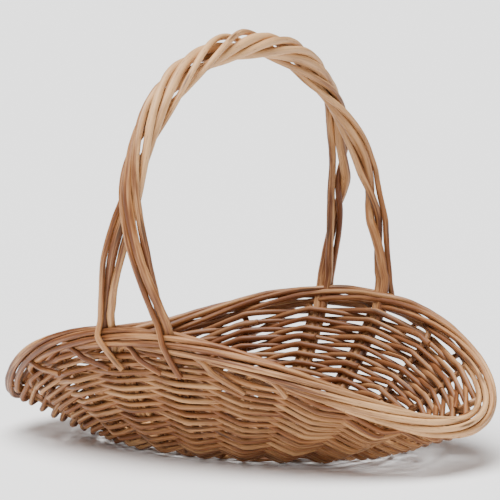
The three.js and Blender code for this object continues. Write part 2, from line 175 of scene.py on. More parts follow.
class BasketRods(bpy.types.PropertyGroup):
    """The rods' radii and how they are laid."""

    stake: length("Stake", "Radius of a stake where it leaves the base", 2.8)
    stake_tip: length("Stake Tip", "Radius of a stake at its tip", 2.35)
    stake_set_in: length("Stake Set In", "How far a stake goes into the base", 18)
    weaver: length("Weaver", "Radius of a side row's rod at its butt", 2.65)
    weaver_tip: length("Weaver Tip", "Radius of a side row's rod at its tip", 1.95)
    weaver_wrap: share("Weaver Wrap", "Half of a stake space for which a row hugs the stake", 0.13)
    weave_depth: length("Weave Depth", "How far a row stands off the middle of the wall at a stake", 5.0)
    weave_loose: length("Weave Looseness", "How unevenly the rows lie", 0.8)
    first_row: length("First Row", "Distance of the first row up the wall", 7)
    last_row: length("Last Row", "Distance of the last row below the rim", 11.6)
    border: length("Border", "Radius of the ring that the border's rods turn about", 6.7)
    border_spaces: share("Border Spaces", "Stake spaces for which a stake lies in the border", 5.9)
    border_first: share("Border First", "Stake spaces before a stake is fully turned down", 0.13)
    border_turn: share("Border Turn", "Angle at which a stake enters the border, in degrees", -110)
    border_rate: share("Border Rate", "Degrees that a border rod turns in a stake space", 53)
    foot_pitch: length("Foot Pitch", "Distance between a handle foot's rods and its stake", 5.5)
    handle_set_in: share("Handle Set In", "Where a handle rod ends on the wall, from base to rim", 0.5)
    handle_thick: length("Thick Handle Rod", "Radius of the thickest handle rods", 3.9)
    handle_middling: length("Middling Handle Rod", "Radius of the middling handle rods", 3.2)
    handle_thin: length("Thin Handle Rod", "Radius of the rods that wrap the handle", 2.5)
    handle_lay: length("Handle Lay", "Radius of the ring that the handle's rods twist about", 8)
    handle_turns: share("Handle Turns", "Whole turns of the twist from foot to foot", 2)
    near_leg_share: share("Near Leg Share", "Share of the handle over which the legs at -Y stand apart", 0.19)
    far_leg_share: share("Far Leg Share", "Share of the handle over which the legs at +Y stand apart", 0.33)
    leg_turns: share("Leg Turns", "Turns of the far legs' rods about one another", 1.25)
    leg_lay: length("Leg Lay", "Radius of the ring that a leg's rods turn about", 4.6)
    base_stick: length("Base Stick", "Radius of a long base stick", 2.2)
    base_split_stick: length("Split Base Stick", "Radius of a cross base stick", 3.5)
    base_weaver: length("Base Weaver", "Radius of the rods woven round the base sticks", 1.6)
    base_long_spacing: length("Long Stick Spacing", "Distance between the long base sticks", 17)
    base_cross_spacing: length("Cross Stick Spacing", "Distance between the cross base sticks", 30)


class BasketLook(bpy.types.PropertyGroup):
    """Colours of the willow, the ground and the light."""

    honey: tone("Honey", "The willow where it is ripe", (0.32, 0.115, 0.028))
    straw: tone("Straw", "The willow where it is pale", (0.68, 0.39, 0.175))
    # Brown is also the painted shade on the sides of rods that face into the basket.
    brown: tone("Brown", "The willow where bark and damp have stained it", (0.12, 0.035, 0.008))
    knot: tone("Knot", "Knots and scars", (0.07, 0.03, 0.012))
    ground: tone("Ground", "The floor under the basket", (0.93, 0.93, 0.93))
    key_light: share("Key Light", "Strength of the light from above", 8)
    fill_light: share("Fill Light", "Watts of the light from the front", 6)
    surround: share("Surround", "Brightness of the light from all round", 0.16)


# ---- the wall ----


def smooth(x):
    """0 to 1 with level ends."""
    x = min(max(x, 0.0), 1.0)
    return x * x * (3 - 2 * x)


def mix(a, b, x):
    """The value a share x of the way from a to b."""
    return a + (b - a) * x


def turn_between(start, end):
    """The angle from one direction to another, the short way round."""
    return math.atan2(math.sin(end - start), math.cos(end - start))


def stake_angle(stake):
    """Where a stake stands round the basket."""
    return (stake + 0.5) * STAKE_SPACE


def rim_height(shape, angle):
    """The height of the rim's middle."""
    saddle = mix(shape.rim_end_height, shape.rim_side_height, math.sin(angle) ** 2)
    lift = math.exp(-((turn_between(shape.rim_lift_at, angle) / shape.rim_wring_spread) ** 2))
    dip = math.exp(-((turn_between(shape.rim_dip_at, angle) / shape.rim_wring_spread) ** 2))
    return saddle + shape.rim_lift * lift - shape.rim_dip * dip


def wall_point(shape, angle, t):
    """The middle of the wall at an angle, from 0 at the base's edge to 1 at the rim."""
    out = 2 * t * (1 - t) * shape.profile_out + t * t
    up = 2 * t * (1 - t) * shape.profile_up + t * t
    x = mix(shape.base_half_length, shape.rim_half_length, out)
    y = mix(shape.base_half_width, shape.rim_half_width, out)
    z = mix(shape.wall_start, rim_height(shape, angle), up)
    return Vector((shape.base_shift * (1 - out) + x * math.cos(angle), y * math.sin(angle), z))


def wall_frame(shape, angle, t):
    """Directions along the wall, up it and out of it, and the length of one radian along it."""
    step = 1e-3
    along = wall_point(shape, angle + step, t) - wall_point(shape, angle - step, t)
    up = (wall_point(shape, angle, t + step) - wall_point(shape, angle, t - step)).normalized()
    per_radian = along.length / (2 * step)
    along.normalize()
    return along, up, along.cross(up).normalized(), per_radian


def rim_frame(shape, angle):
    """Directions at the rim for the border, which is laid level: out, and square to that and the rim."""
    along = wall_frame(shape, angle, 1)[0]
    out = along.cross(Vector((0, 0, 1))).normalized()
    return out, out.cross(along)


def beside_stake(shape, stake, distance, t):
    """The angle a distance along the wall from a stake."""
    angle = stake_angle(stake)
    return angle + distance / wall_frame(shape, angle, t)[3]


def wall_height(shape, rods, angle, part):
    """Where on the wall, at an angle, a share of the way from the first row to the last lies."""
    points = [wall_point(shape, angle, i / WALL_STEPS) for i in range(WALL_STEPS + 1)]
    runs = [0.0]
    for low, high in zip(points, points[1:]):
        runs.append(runs[-1] + (high - low).length)
    wanted = mix(rods.first_row, runs[-1] - rods.last_row, part)
    i = next(i for i in range(WALL_STEPS) if runs[i + 1] >= wanted or i == WALL_STEPS - 1)
    return (i + (wanted - runs[i]) / (runs[i + 1] - runs[i])) / WALL_STEPS


# ---- guides ----


def placed(name, data):
    """A new object in the scene."""
    made = bpy.data.objects.new(name, data)
    bpy.context.scene.collection.objects.link(made)
    return made


class Guides:
    """Chains of points with a radius and a rod number at each, which become one object's rods."""

    def __init__(self):
        self.points = []
        self.edges = []
        self.radii = []
        self.rods = []

    def add(self, points, radius_at, rod, closed=False):
        """Adds a rod. radius_at takes the share of the way along the chain."""
        first = len(self.points)
        last = len(points) - 1
        for i, point in enumerate(points):
            self.points.append(point)
            self.radii.append(radius_at(i / last))
            self.rods.append(rod)
        self.edges += [(first + i, first + i + 1) for i in range(last)]
        if closed:
            self.edges.append((first + last, first))

    def to_object(self, name):
        """The guides as an object of bare edges."""
        mesh = bpy.data.meshes.new(name)
        mesh.from_pydata(self.points, self.edges, [])
        mesh.attributes.new("radius_m", "FLOAT", "POINT").data.foreach_set("value", self.radii)
        mesh.attributes.new("rod", "FLOAT", "POINT").data.foreach_set("value", self.rods)
        return placed(name, mesh)


def tapered(butt, tip):
    """A radius that falls evenly from the butt to the tip."""
    return lambda along: mix(butt, tip, along)


# ---- Geometry Nodes ----


def add_node(tree, kind, settings, values):
    """Adds a node with its settings, and a value or a link for each named socket.

    An underscore in a socket's name stands for a space, and iN names the Nth socket.
    """
    made = tree.nodes.new(kind)
    for key, value in (settings or {}).items():
        setattr(made, key, value)
    for key, value in values.items():
        name = key.replace("_", " ")
        numbered = name[0] == "i" and name[1:].isdigit()
        socket = made.inputs[int(name[1:]) if numbered else name]
        if isinstance(value, bpy.types.NodeSocket):
            tree.links.new(value, socket)
        else:
            socket.default_value = value
    return made


class NodeTree:
    """Builds a Geometry Nodes tree with named inputs."""

    def __init__(self, name):
        self.tree = bpy.data.node_groups.new(name, "GeometryNodeTree")
        self.tree.interface.new_socket("Geometry", in_out="INPUT", socket_type="NodeSocketGeometry")
        self.tree.interface.new_socket("Geometry", in_out="OUTPUT", socket_type="NodeSocketGeometry")
        self.entry = self.tree.nodes.new("NodeGroupInput")

    def input(self, name, kind, default=None):
        """A named input of the tree."""
        socket = self.tree.interface.new_socket(name, in_out="INPUT", socket_type="NodeSocket" + kind)
        if default is not None:
            socket.default_value = default
        return self.entry.outputs[name]

    def node(self, kind, settings=None, output=0, **values):
        """Adds a node, and gives one of its outputs."""
        return add_node(self.tree, kind, settings, values).outputs[output]

    def maths(self, operation, a, b):
        """A Math node of two values."""
        return self.node("ShaderNodeMath", {"operation": operation}, i0=a, i1=b)

    def vector_maths(self, operation, a, b):
        """A Vector Math node of two vectors."""
        return self.node("ShaderNodeVectorMath", {"operation": operation}, i0=a, i1=b)

    def finish(self, geometry):
        """Links the tree's result."""
        leave = self.tree.nodes.new("NodeGroupOutput")
        self.tree.links.new(geometry, leave.inputs["Geometry"])
        return self.tree


def rod_tree():
    """Turns guide chains into rods: curves that wander a little, round sections and grain attributes."""
    tree = NodeTree("Willow Rods")
    sides = tree.input("Sides", "Int", 10)
    step = tree.input("Step", "Float", 4 * MM)
    wander = tree.input("Wander", "Float", 0.6 * MM)
    wander_scale = tree.input("Wander Scale", "Float", 22.0)
    unevenness = tree.input("Unevenness", "Float", 0.18)
    seed = tree.input("Seed", "Float", 1.0)
    material = tree.input("Material", "Material")

    chains = tree.node("GeometryNodeMeshToCurve", Mesh=tree.entry.outputs["Geometry"])
    fair = tree.node("GeometryNodeCurveSplineType", {"spline_type": "CATMULL_ROM"}, Curve=chains)
    line = tree.node("GeometryNodeResampleCurve", {"mode": "LENGTH"}, Curve=fair, Length=step)

    place = tree.node("GeometryNodeInputPosition")
    rod = tree.node("GeometryNodeInputNamedAttribute", {"data_type": "FLOAT"}, Name="rod")
    where = tree.maths("ADD", seed, tree.maths("MULTIPLY", rod, 91.0))
    drift = tree.node(
        "ShaderNodeTexNoise", {"noise_dimensions": "4D"}, output=1, Vector=place, W=where, Scale=wander_scale
    )
    centred = tree.vector_maths("SUBTRACT", drift, (0.5, 0.5, 0.5))
    scale = tree.maths("MULTIPLY", wander, 2.0)
    offset = tree.node("ShaderNodeVectorMath", {"operation": "SCALE"}, i0=centred, Scale=scale)
    moved = tree.node("GeometryNodeSetPosition", Geometry=line, Offset=offset)

    run = tree.node("GeometryNodeSplineParameter", output=1)
    measured = tree.node(
        "GeometryNodeStoreNamedAttribute",
        {"data_type": "FLOAT", "domain": "POINT"},
        Geometry=moved,
        Name="along",
        Value=run,
    )
    swell_at = tree.node("ShaderNodeCombineXYZ", X=tree.maths("MULTIPLY", run, 38.0), Y=where)
    swell = tree.node(
        "ShaderNodeTexNoise", {"noise_dimensions": "2D"}, Vector=swell_at, Scale=1.0, Detail=3.0
    )
    swing = tree.maths("MULTIPLY", unevenness, 2.0)
    lumps = tree.maths("MULTIPLY", tree.maths("SUBTRACT", swell, 0.5), swing)
    radius = tree.node("GeometryNodeInputNamedAttribute", {"data_type": "FLOAT"}, Name="radius_m")
    thickness = tree.maths("MULTIPLY", radius, tree.maths("ADD", lumps, 1.0))

    ring = tree.node("GeometryNodeCurvePrimitiveCircle", Resolution=sides, Radius=1.0)
    marked = tree.node(
        "GeometryNodeStoreNamedAttribute",
        {"data_type": "FLOAT_VECTOR", "domain": "POINT"},
        Geometry=ring,
        Name="round",
        Value=tree.node("GeometryNodeInputPosition"),
    )
    rods = tree.node(
        "GeometryNodeCurveToMesh", Curve=measured, Profile_Curve=marked, Scale=thickness, Fill_Caps=True
    )
    smoothed = tree.node("GeometryNodeSetShadeSmooth", Geometry=rods)
    real = tree.node("GeometryNodeRealizeInstances", Geometry=smoothed)
    painted = tree.node("GeometryNodeSetMaterial", Geometry=real, Material=material)
    return tree.finish(painted)


def make_rods(guides, name, replaces, material, seed, sides=10, step=4 * MM, wander=0.6 * MM):
    """Runs the rod tree over guides and leaves a plain mesh that stands for CAD nodes."""
    guide = guides.to_object(name + "_guide")
    tree = bpy.data.node_groups.get("Willow Rods") or rod_tree()
    modifier = guide.modifiers.new("Rods", "NODES")
    modifier.node_group = tree
    values = {"Sides": sides, "Step": step, "Wander": wander, "Seed": float(seed), "Material": material}
    for socket in tree.interface.items_tree:
        if socket.in_out == "INPUT" and socket.name in values:
            modifier[socket.identifier] = values[socket.name]
    evaluated = guide.evaluated_get(bpy.context.evaluated_depsgraph_get())
    mesh = bpy.data.meshes.new_from_object(evaluated)
    guide.modifiers.remove(modifier)
    bpy.data.objects.remove(guide)
    if not mesh.polygons:
        raise RuntimeError(f"{name} came out empty")
    mesh.name = name
    piece = placed(name, mesh)
    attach(piece, "root")
    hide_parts(*replaces)
    return piece


# ---- materials ----


def wire_maths(operation, swapped=False):
    """A method that joins a Wire and another value in a Math node."""

    def method(self, other):
        a, b = (other, self) if swapped else (self, other)
        return self.shades.node("ShaderNodeMath", {"operation": operation}, i0=a, i1=b)

    return method


class Wire:
    """A shader socket that takes part in Python expressions."""

    def __init__(self, shades, socket):
        self.shades = shades
        self.socket = socket

    __add__, __radd__ = wire_maths("ADD"), wire_maths("ADD", True)
    __sub__, __rsub__ = wire_maths("SUBTRACT"), wire_maths("SUBTRACT", True)
    __mul__, __rmul__ = wire_maths("MULTIPLY"), wire_maths("MULTIPLY", True)

    def between(self, low, high):
        """0 at low, 1 at high, held outside."""
        limits = {"i1": low, "i2": high, "i3": 0.0, "i4": 1.0}
        return self.shades.node("ShaderNodeMapRange", {"clamp": True}, i0=self, **limits)


class Shades:
    """Builds one material's nodes."""

    def __init__(self, name):
        self.material = bpy.data.materials.new(name)
        self.material.use_nodes = True
        self.tree = self.material.node_tree
        self.tree.nodes.clear()
        self.out = self.tree.nodes.new("ShaderNodeOutputMaterial")

    def node(self, kind, settings=None, output=0, **values):
        """Adds a node, and gives one of its outputs as a Wire."""
        values = {key: v.socket if isinstance(v, Wire) else v for key, v in values.items()}
        return Wire(self, add_node(self.tree, kind, settings, values).outputs[output])

    def colour(self, blend, factor, a, b):
        """A Mix node of two colours."""
        settings = {"data_type": "RGBA", "blend_type": blend, "clamp_factor": True}
        pick = {f"i{i}": (*v, 1.0) if isinstance(v, tuple) else v for i, v in ((6, a), (7, b))}
        return self.node("ShaderNodeMix", settings, output=2, i0=factor, **pick)

    def surface(self, **values):
        """The finished surface."""
        shader = self.node("ShaderNodeBsdfPrincipled", **values)
        self.tree.links.new(shader.socket, self.out.inputs["Surface"])
        return self.material


def painted_inside_shade(shades):
    """1 on the side of a rod that faces the middle of the basket: the mask for painted shade on the inside.
    """
    normal = shades.node("ShaderNodeNewGeometry", output=1)
    place = shades.node("ShaderNodeTexCoord", output=3)
    flat = shades.node("ShaderNodeVectorMath", {"operation": "MULTIPLY"}, i0=place, i1=(1.0, 2.1, 0.0))
    out = shades.node("ShaderNodeVectorMath", {"operation": "NORMALIZE"}, i0=flat)
    outward = shades.node("ShaderNodeVectorMath", {"operation": "DOT_PRODUCT"}, output=1, i0=normal, i1=out)
    return (0.0 - outward).between(-0.15, 0.5)


def painted_highlight(shades, axis, start, end):
    """0 to 1 between two distances along an axis of the basket: a painted highlight, where the willow is made
    paler.
    """
    place = shades.node("ShaderNodeTexCoord", output=3)
    split = shades.node("ShaderNodeSeparateXYZ", Vector=place)
    return Wire(shades, split.socket.node.outputs[axis]).between(start, end)


def willow(name, look, ripeness, paleness, inside_shade=0.0, highlight_span=None):
    """Willow with a tone of its own on each rod, streaks along the grain, stains, knots and flecks, and where
    asked painted shade on the inward sides and a painted highlight along an axis.
    """
    shades = Shades(name)
    turn = shades.node("ShaderNodeAttribute", {"attribute_name": "round"}, output=1)
    along = shades.node("ShaderNodeAttribute", {"attribute_name": "along"}, output=2)
    rod = shades.node("ShaderNodeAttribute", {"attribute_name": "rod"}, output=2)
    split = shades.node("ShaderNodeSeparateXYZ", Vector=turn)
    across_x, across_y = split, Wire(shades, split.socket.node.outputs[1])

    def grain(round_scale, run_scale, detail, shift=0.0):
        place = shades.node(
            "ShaderNodeCombineXYZ",
            X=across_x * round_scale,
            Y=across_y * round_scale,
            Z=along * run_scale + (rod * 57.0 + shift),
        )
        return shades.node("ShaderNodeTexNoise", Vector=place, Scale=1.0, Detail=detail, Roughness=0.6)

    streaks = grain(2.6, 22.0, 4.0).between(0.32, 0.68)
    fibres = grain(7.0, 60.0, 2.0, 11.0)
    patches = grain(0.35, 11.0, 3.0, 23.0).between(0.38, 0.62)
    flecks = grain(3.4, 150.0, 2.0, 37.0).between(0.62, 0.7)
    knot_place = shades.node(
        "ShaderNodeCombineXYZ", X=across_x * 0.45, Y=across_y * 0.45, Z=along * 17.0 + rod * 31.0
    )
    knots = shades.node("ShaderNodeTexVoronoi", {"feature": "F1"}, Vector=knot_place, Scale=1.0)
    scars = 1.0 - knots.between(0.12, 0.24)
    bare = 0.5 * rod + 0.45 * patches + 0.4 * streaks + (paleness - 0.2)
    stain = (1.15 - patches) * ripeness * (1.15 - streaks)
    # Painted highlight: the willow is made paler and less stained along one axis of the basket.
    if highlight_span:
        pale = painted_highlight(shades, *highlight_span)
        bare = bare + 0.75 * pale
        stain = stain * (1.0 - 0.7 * pale)
    ripe = shades.colour("MIX", bare, tuple(look.honey), tuple(look.straw))
    stained = shades.colour("MIX", stain, ripe, tuple(look.brown))
    # Painted shade: the sides of rods that face into the basket are mixed towards brown.
    if inside_shade:
        stained = shades.colour("MIX", painted_inside_shade(shades) * inside_shade, stained, tuple(look.brown))
    flecked = shades.colour("MIX", flecks * 0.55, stained, tuple(look.brown))
    scarred = shades.colour("MIX", scars * 0.8, flecked, tuple(look.knot))
    relief = fibres * 0.6 + streaks * 0.3 - scars * 0.9
    bump = shades.node("ShaderNodeBump", Strength=0.45, Distance=0.35 * MM, Height=relief)
    return shades.surface(
        Base_Color=scarred,
        Roughness=0.42 + 0.2 * fibres,
        Normal=bump,
        Specular_IOR_Level=0.42,
    )


# ---- the base ----


def spread(count, spacing):
    """Places of evenly spaced pieces about the middle."""
    return [(i - (count - 1) / 2) * spacing for i in range(count)]


def stick_ends(shape, along_x, place, height, overhang=1 * MM):
    """The two ends of a straight base stick."""
    half, across = shape.base_half_length, shape.base_half_width
    if not along_x:
        half, across = across, half
    reach = half * math.sqrt(1 - (place / across) ** 2) + overhang
    ends = [(-reach, place), (reach, place)] if along_x else [(place, -reach), (place, reach)]
    return [Vector((shape.base_shift + x, y, height)) for x, y in ends]


def between_points(a, b, count):
    """Points from a to b."""
    return [a.lerp(b, i / count) for i in range(count + 1)]


class BASKET_OT_base_sticks(bpy.types.Operator):
    """Lay the long sticks and the split sticks that they are threaded through."""

    bl_idname = "basket.base_sticks"
    bl_label = "Base Sticks"

    def execute(self, context):
        shape, rods = context.scene.basket_shape, context.scene.basket_rods
        chance = random.Random(5)
        material = willow("base stick willow", context.scene.basket_look, 0.9, -0.2)
        middle = base_middle()
        sets = [
            (LONG_STICKS, True, rods.base_stick, rods.base_long_spacing),
            (CROSS_STICKS, False, rods.base_split_stick, rods.base_cross_spacing),
        ]
        for names, along_x, radius, spacing in sets:
            for name, place in zip(names, spread(len(names), spacing)):
                guides = Guides()
                ends = stick_ends(shape, along_x, place, middle)
                guides.add(between_points(*ends, 6), tapered(radius, radius * 0.92), chance.random())
                piece = name + "_willow"
                make_rods(guides, piece, [name], material, 3, sides=14, wander=0.2 * MM)
        return {"FINISHED"}


def base_middle():
    """The height of the middle of the base."""
    low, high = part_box("base_weave")
    return (low.z + high.z) / 2


def base_round(shape, rods, inset, flip):
    """One round of the base's weaving, over one stick and under the next."""
    half_length = shape.base_half_length - inset
    half_width = shape.base_half_width - inset
    crossings = []
    for x in spread(len(CROSS_STICKS), rods.base_cross_spacing):
        angle = math.acos(x / half_length)
        crossings += [angle, 2 * math.pi - angle]
    for y in spread(len(LONG_STICKS), rods.base_long_spacing):
        if abs(y) < half_width:
            angle = math.asin(y / half_width)
            crossings += [angle % (2 * math.pi), math.pi - angle]
    crossings.sort()
    rise = base_middle() - 1.1 * rods.base_weaver
    points = []
    for i, angle in enumerate(crossings):
        following = crossings[(i + 1) % len(crossings)]
        gap = (following - angle) % (2 * math.pi)
        side = 1 if (i + flip) % 2 else -1
        for part, lift in ((0, side * rise), (0.5, 0)):
            height = base_middle() + lift
            a = angle + gap * part
            x = shape.base_shift + half_length * math.cos(a)
            points.append(Vector((x, half_width * math.sin(a), height)))
    return points


def base_binding(shape, rods, x, flip):
    """A fine rod that binds the long sticks together across the middle of the base."""
    rise = base_middle() - 1.1 * rods.base_weaver
    sticks = spread(len(LONG_STICKS), rods.base_long_spacing)
    reach = sticks[-1] + 0.45 * rods.base_long_spacing
    points = [Vector((shape.base_shift + x, -reach, base_middle()))]
    for i, y in enumerate(sticks):
        side = 1 if (i + flip) % 2 else -1
        points.append(Vector((shape.base_shift + x, y, base_middle() + side * rise)))
        points.append(Vector((shape.base_shift + x, y + 0.45 * rods.base_long_spacing, base_middle())))
    return points


def binding_places(rods):
    """Places along the base's middle for binding rods, clear of the cross sticks."""
    crosses = spread(len(CROSS_STICKS), rods.base_cross_spacing)
    pitch = 2.05 * rods.base_weaver
    count = int((crosses[-1] - crosses[0]) / pitch)
    places = [crosses[0] + (i + 0.5) * pitch for i in range(count)]
    clear = 0.9 * rods.base_split_stick + rods.base_weaver
    return [x for x in places if min(abs(x - c) for c in crosses) > clear]


class BASKET_OT_base_weave(bpy.types.Operator):
    """Weave fine rods round and round the base sticks."""

    bl_idname = "basket.base_weave"
    bl_label = "Base Weave"

    def execute(self, context):
        shape, rods = context.scene.basket_shape, context.scene.basket_rods
        chance = random.Random(8)
        guides = Guides()
        inset = rods.base_weaver
        count = 0
        while shape.base_half_width - inset > 8 * MM:
            if shape.base_half_length - inset > 2.05 * rods.base_cross_spacing:
                points = base_round(shape, rods, inset, count)
                guides.add(points, tapered(rods.base_weaver, rods.base_weaver), chance.random(), closed=True)
            inset += 2.02 * rods.base_weaver
            count += 1
        for flip, x in enumerate(binding_places(rods)):
            points = base_binding(shape, rods, x, flip)
            guides.add(points, tapered(rods.base_weaver, rods.base_weaver), chance.random())
        material = willow("base willow", context.scene.basket_look, 0.7, -0.1)
        piece, slot = "base_weave_willow", "base_weave"
        make_rods(guides, piece, ["base_weave"], material, 4, sides=7, wander=0.3 * MM)
        return {"FINISHED"}


# ---- handle feet ----


def handle_stakes():
    """The four stakes that the handle's feet stand beside, the two nearest to the middle on each side."""
    count = len(STAKES)
    return [round(part * count) + step for part in (0.25, 0.75) for step in (-1, 0)]


def foot_shift(rods, stake, place):
    """How far along the wall a place in a handle foot is from the stake's even place."""
    towards_middle = -0.5 if handle_stakes().index(stake) % 2 else 0.5
    return (towards_middle - place) * rods.foot_pitch


def foot_nearness(shape, rods, angle):
    """1 beside a handle foot, fading to 0, so that border rods part round the foot."""
    most = 0.0
    for stake in handle_stakes():
        middle = beside_stake(shape, stake, foot_shift(rods, stake, 0.5), 1)
        distance = abs(turn_between(middle, angle)) * wall_frame(shape, middle, 1)[3]
        past = distance - FOOT_REACH * rods.foot_pitch
        most = max(most, 1 - smooth(past / (FOOT_FADE * rods.foot_pitch)))
    return most


# ---- stakes and border ----


def border_point(shape, rods, start, spaces):
    """A point of a border rod, some stake spaces after its stake turned down."""
    angle = start + spaces * STAKE_SPACE
    turn = math.radians(rods.border_turn + rods.border_rate * spaces)
    out, up = rim_frame(shape, angle)
    across = rods.border * math.cos(turn)
    parted = math.copysign(rods.foot_pitch + 0.3 * MM, across)
    if spaces > 0.5:
        across = mix(across, parted, 0.8 * foot_nearness(shape, rods, angle))
    return wall_point(shape, angle, 1) + out * across + up * rods.border * math.sin(turn)


def border_tail(shape, rods, start, reach):
    """The end of a border rod, which goes under the border and out, and may lie on the wall below."""
    angle = start + (rods.border_spaces + TAIL_START) * STAKE_SPACE
    out, up = rim_frame(shape, angle)
    points = [wall_point(shape, angle, 1) + out * rods.border * 0.35 - up * rods.border * 0.98]
    off = rods.weave_depth + 0.8 * rods.weaver + rods.stake_tip
    for along, drop, share_off in TAIL_STEPS:
        spaces = rods.border_spaces + TAIL_START + (along - TAIL_START) * reach
        angle = start + spaces * STAKE_SPACE
        if abs(math.sin(angle)) > TAIL_SHOWS_FROM:
            out = wall_frame(shape, angle, 1)[2]
            t = 1 - drop * rods.border / TAIL_WALL_MM / MM
            points.append(wall_point(shape, angle, t) + out * off * share_off)
    return points


def stake_points(shape, rods, index, chance):
    """A stake from inside the base, up the wall, and round in the border."""
    shift = foot_shift(rods, index, -1) if index in handle_stakes() else 0.0

    def angle_at(t):
        return beside_stake(shape, index, shift * smooth(t / rods.handle_set_in), t)

    angle = stake_angle(index)
    square = Vector((shape.base_half_width * math.cos(angle), shape.base_half_length * math.sin(angle), 0))
    points = [wall_point(shape, angle, 0) - square.normalized() * rods.stake_set_in]
    for i in range(9):
        t = 0.92 * i / 8
        points.append(wall_point(shape, angle_at(t), t))
    steps = 18
    for i in range(steps + 1):
        spaces = mix(rods.border_first, rods.border_spaces, i / steps)
        points.append(border_point(shape, rods, angle_at(1), spaces))
    return points + border_tail(shape, rods, angle_at(1), mix(*TAIL_REACH, chance.random()))


class BASKET_OT_stakes(bpy.types.Operator):
    """Stand the stakes up and lay them down again as the border."""

    bl_idname = "basket.stakes"
    bl_label = "Stakes and Border"

    def execute(self, context):
        shape, rods = context.scene.basket_shape, context.scene.basket_rods
        chance = random.Random(21)
        # Stakes: painted shade on their inward sides, and a painted highlight towards the +X end of the
        # border.
        material = willow("stake willow", context.scene.basket_look, 1.35, -0.2, 0.3, (0, 0.12, 0.2))
        for index, name in enumerate(STAKES):
            guides = Guides()
            points = stake_points(shape, rods, index, chance)
            guides.add(points, tapered(rods.stake, rods.stake_tip), chance.random())
            make_rods(guides, name + "_willow", [name], material, index, sides=12, step=3 * MM)
        return {"FINISHED"}


# ---- side rows ----


def packing_width(angle):
    """How much room a packing rod's row takes at an angle, from none at the ends to a row's at the sides."""
    return 0.12 + 0.88 * smooth((abs(math.sin(angle)) - 0.3) / 0.45)


def row_part(level, angle):
    """A level's share of the way up the rows at an angle. Levels count every row, packing rows too."""
    widths = []
    for row in range(len(ROWS) - 1):
        packing = 2 * packing_width(angle) if row in PACKED_ROWS else 0
        widths.append(1 + packing)
    row, extra = level
    reached = sum(widths[:row])
    if extra:
        reached += packing_width(angle) * extra
    return reached / sum(widths)


def row_point(shape, rods, level, side, place, chance):
    """A control point of a side row, at a place counted in stakes."""
    angle = stake_angle(place)
    t = wall_height(shape, rods, angle, row_part(level, angle))
    _, up, out, _ = wall_frame(shape, angle, t)
    loose = chance.uniform(-1, 1) * rods.weave_loose
    point = wall_point(shape, angle, t) + out * side * rods.weave_depth + up * loose
    point.z = max(point.z, rods.weaver + ABOVE_GROUND)
    return point


def row_side(row, stake):
    """1 where a row passes outside a stake, -1 where it passes inside."""
    return -1 if (stake + row) % 2 else 1


def row_rod(shape, rods, row, first, spaces, chance):
    """A rod of a side row. Both its ends lie inside the basket, behind a stake."""
    end_place = ROW_END * rods.weaver_wrap
    places = [(first - end_place, first)]
    for stake in range(first, first + spaces + 1):
        places += [(stake - rods.weaver_wrap, stake), (stake + rods.weaver_wrap, stake)]
    places.append((first + spaces + end_place, first + spaces))
    return [row_point(shape, rods, (row, 0), row_side(row, s), place, chance) for place, s in places]


def twined_rod(shape, rods):
    """The rod that is twined with the first row, close to the base."""
    points = []
    for stake in range(len(STAKES) + 1):
        for place in (stake - rods.weaver_wrap, stake + rods.weaver_wrap):
            angle = stake_angle(place)
            t = wall_height(shape, rods, angle, TWINED_AT)
            out = wall_frame(shape, angle, t)[2]
            offset = rods.weave_depth * row_side(1, stake)
            point = wall_point(shape, angle, t) + out * offset
            point.z = max(point.z, rods.weaver_tip + ABOVE_GROUND)
            points.append(point)
    return points


def packing_rod(shape, rods, row, middle, reach, chance):
    """A rod that goes along a side above a row, turns round a stake and comes back."""
    points = []
    there = range(middle - reach, middle + reach + 1)
    wrap_there = rods.weaver_wrap
    for extra, stakes, wrap in ((1, there, wrap_there), (2, reversed(there), -wrap_there)):
        for stake in stakes:
            side = row_side(row + extra, stake)
            for place in (stake - wrap, stake + wrap):
                points.append(row_point(shape, rods, (row, extra), side, place, chance))
    return points


class BASKET_OT_side_rows(bpy.types.Operator):
    """Weave the side in rows that pass outside one stake and inside the next."""

    bl_idname = "basket.side_rows"
    bl_label = "Side Rows"

    def execute(self, context):
        shape, rods = context.scene.basket_shape, context.scene.basket_rods
        chance = random.Random(34)
        # Side rows: painted shade on their inward sides.
        material = willow("weaver willow", context.scene.basket_look, 0.9, -0.2, 0.72)
        count = len(STAKES)
        for row, name in enumerate(ROWS):
            guides = Guides()
            rod_count = 2 if row > len(ROWS) // 3 else 1
            spaces = count // rod_count
            first = row * 7 + 1
            for part in range(rod_count):
                start = first + part * spaces
                if (start + row) % 2 == 0:
                    start += 1
                size = chance.uniform(0.92, 1.06)
                points = row_rod(shape, rods, row, start, spaces, chance)
                guides.add(points, tapered(rods.weaver * size, rods.weaver_tip * size), chance.random())
            if row == 0:
                points = twined_rod(shape, rods)
                guides.add(points, tapered(rods.weaver_tip, rods.weaver_tip), chance.random())
            if row in PACKED_ROWS:
                for middle in (count // 4, 3 * count // 4):
                    reach = chance.choice(PACKING_REACHES)
                    points = packing_rod(shape, rods, row, middle, reach, chance)
                    guides.add(points, tapered(rods.weaver * 0.95, rods.weaver_tip), chance.random())
            make_rods(guides, name + "_willow", [name], material, row + 40, sides=9)
        return {"FINISHED"}


# ---- handle ----


def arch_line(shape):
    """The middle line of the handle as evenly spaced points, from the near foot to the far one."""
    marks = [
        Vector((0, across * shape.rim_half_width, shape.rim_side_height + rise * shape.handle_rise))
        for across, rise in HANDLE_ARCH
    ]
    ends = [marks[0] * 2 - marks[1], *marks, marks[-1] * 2 - marks[-2]]
    fine = []
    for i in range(len(marks) - 1):
        a, b, c, d = ends[i : i + 4]
        for j in range(24):
            x = j / 24
            squared = (a * 2 - b * 5 + c * 4 - d) * x**2
            cubed = (b * 3 - a - c * 3 + d) * x**3
            fine.append(((b * 2) + (c - a) * x + squared + cubed) / 2)
    fine.append(marks[-1])
    return fine


